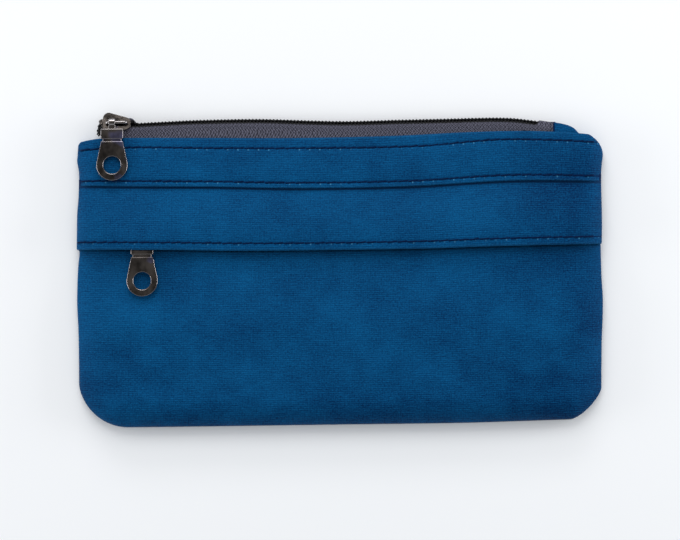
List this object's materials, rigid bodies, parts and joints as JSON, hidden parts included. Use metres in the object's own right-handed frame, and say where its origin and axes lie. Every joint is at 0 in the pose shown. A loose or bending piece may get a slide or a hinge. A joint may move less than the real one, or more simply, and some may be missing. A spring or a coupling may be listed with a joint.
{
  "type": "zippered pouch",
  "caption": "Flat rectangular waxed-canvas pouch with a long zip along its top edge, a second zipped pocket under a flap on the front, and metal sliders with ring pulls.",
  "frame": {"origin": "middle of the pouch's footprint, on the plane its back lies on", "axes": "+X along the zips from the closed sliders towards the open end, +Y up the pouch to the main zip, +Z out of the front"},
  "size_m": [0.21, 0.1265, 0.0126],
  "materials": {
    "canvas": "waxed cotton canvas, dull, fine ribbed weave",
    "lining": "plain woven lining",
    "zip_tape": "grey herringbone tape",
    "zip_coil": "black nylon coil",
    "black_nickel": "polished black nickel plate",
    "thread": "navy bonded thread"
  },
  "bodies": {
    "pouch": {"back_panel": "canvas", "lower_panel": "canvas", "top_band": "canvas", "flap_backing": "canvas", "zip_end_tab": "canvas", "back_lining": "lining", "front_lining": "lining", "pocket_lining": "lining", "main_tape_front": "zip_tape", "main_tape_back": "zip_tape", "pocket_tape_upper": "zip_tape", "pocket_tape_lower": "zip_tape", "main_coil_front": "zip_coil", "main_coil_back": "zip_coil", "pocket_coil_upper": "zip_coil", "pocket_coil_lower": "zip_coil", "main_top_stops": "black_nickel", "main_bottom_stop": "black_nickel", "pocket_top_stops": "black_nickel", "pocket_bottom_stop": "black_nickel", "top_edge_stitches": "thread", "band_stitches": "thread", "back_edge_stitches": "thread"},
    "main_slider": {"main_slider_body": "black_nickel", "main_slider_crown": "black_nickel"},
    "main_pull": {"main_pull": "black_nickel"},
    "pocket_slider": {"pocket_slider_body": "black_nickel", "pocket_slider_crown": "black_nickel"},
    "pocket_pull": {"pocket_pull": "black_nickel"},
    "flap": {"zip_flap": "canvas", "flap_stitches": "thread"}
  },
  "joints": [
    {"name": "main_slide", "type": "slide", "parent": "pouch", "child": "main_slider", "axis": [1, 0, 0], "range_m": [0, 0.165]},
    {"name": "main_pull_swing", "type": "hinge", "parent": "main_slider", "child": "main_pull", "pos_m": [-0.0887, 0.0586, 0.00882], "axis": [-1, 0, 0], "range_deg": [0, 190]},
    {"name": "pocket_slide", "type": "slide", "parent": "pouch", "child": "pocket_slider", "axis": [1, 0, 0], "range_m": [0, 0.15]},
    {"name": "pocket_pull_swing", "type": "hinge", "parent": "pocket_slider", "child": "pocket_pull", "pos_m": [-0.0772, 0.01233, 0.0097], "axis": [-1, 0, 0], "range_deg": [0, 90]},
    {"name": "flap_lift", "type": "hinge", "parent": "pouch", "child": "flap", "pos_m": [0, 0.03203, 0.0081], "axis": [-1, 0, 0], "range_deg": [0, 45]}
  ],
  "couplings": [
    {"joint": "flap_lift", "follows": "pocket_pull_swing", "ratio": 0.5}
  ]
}
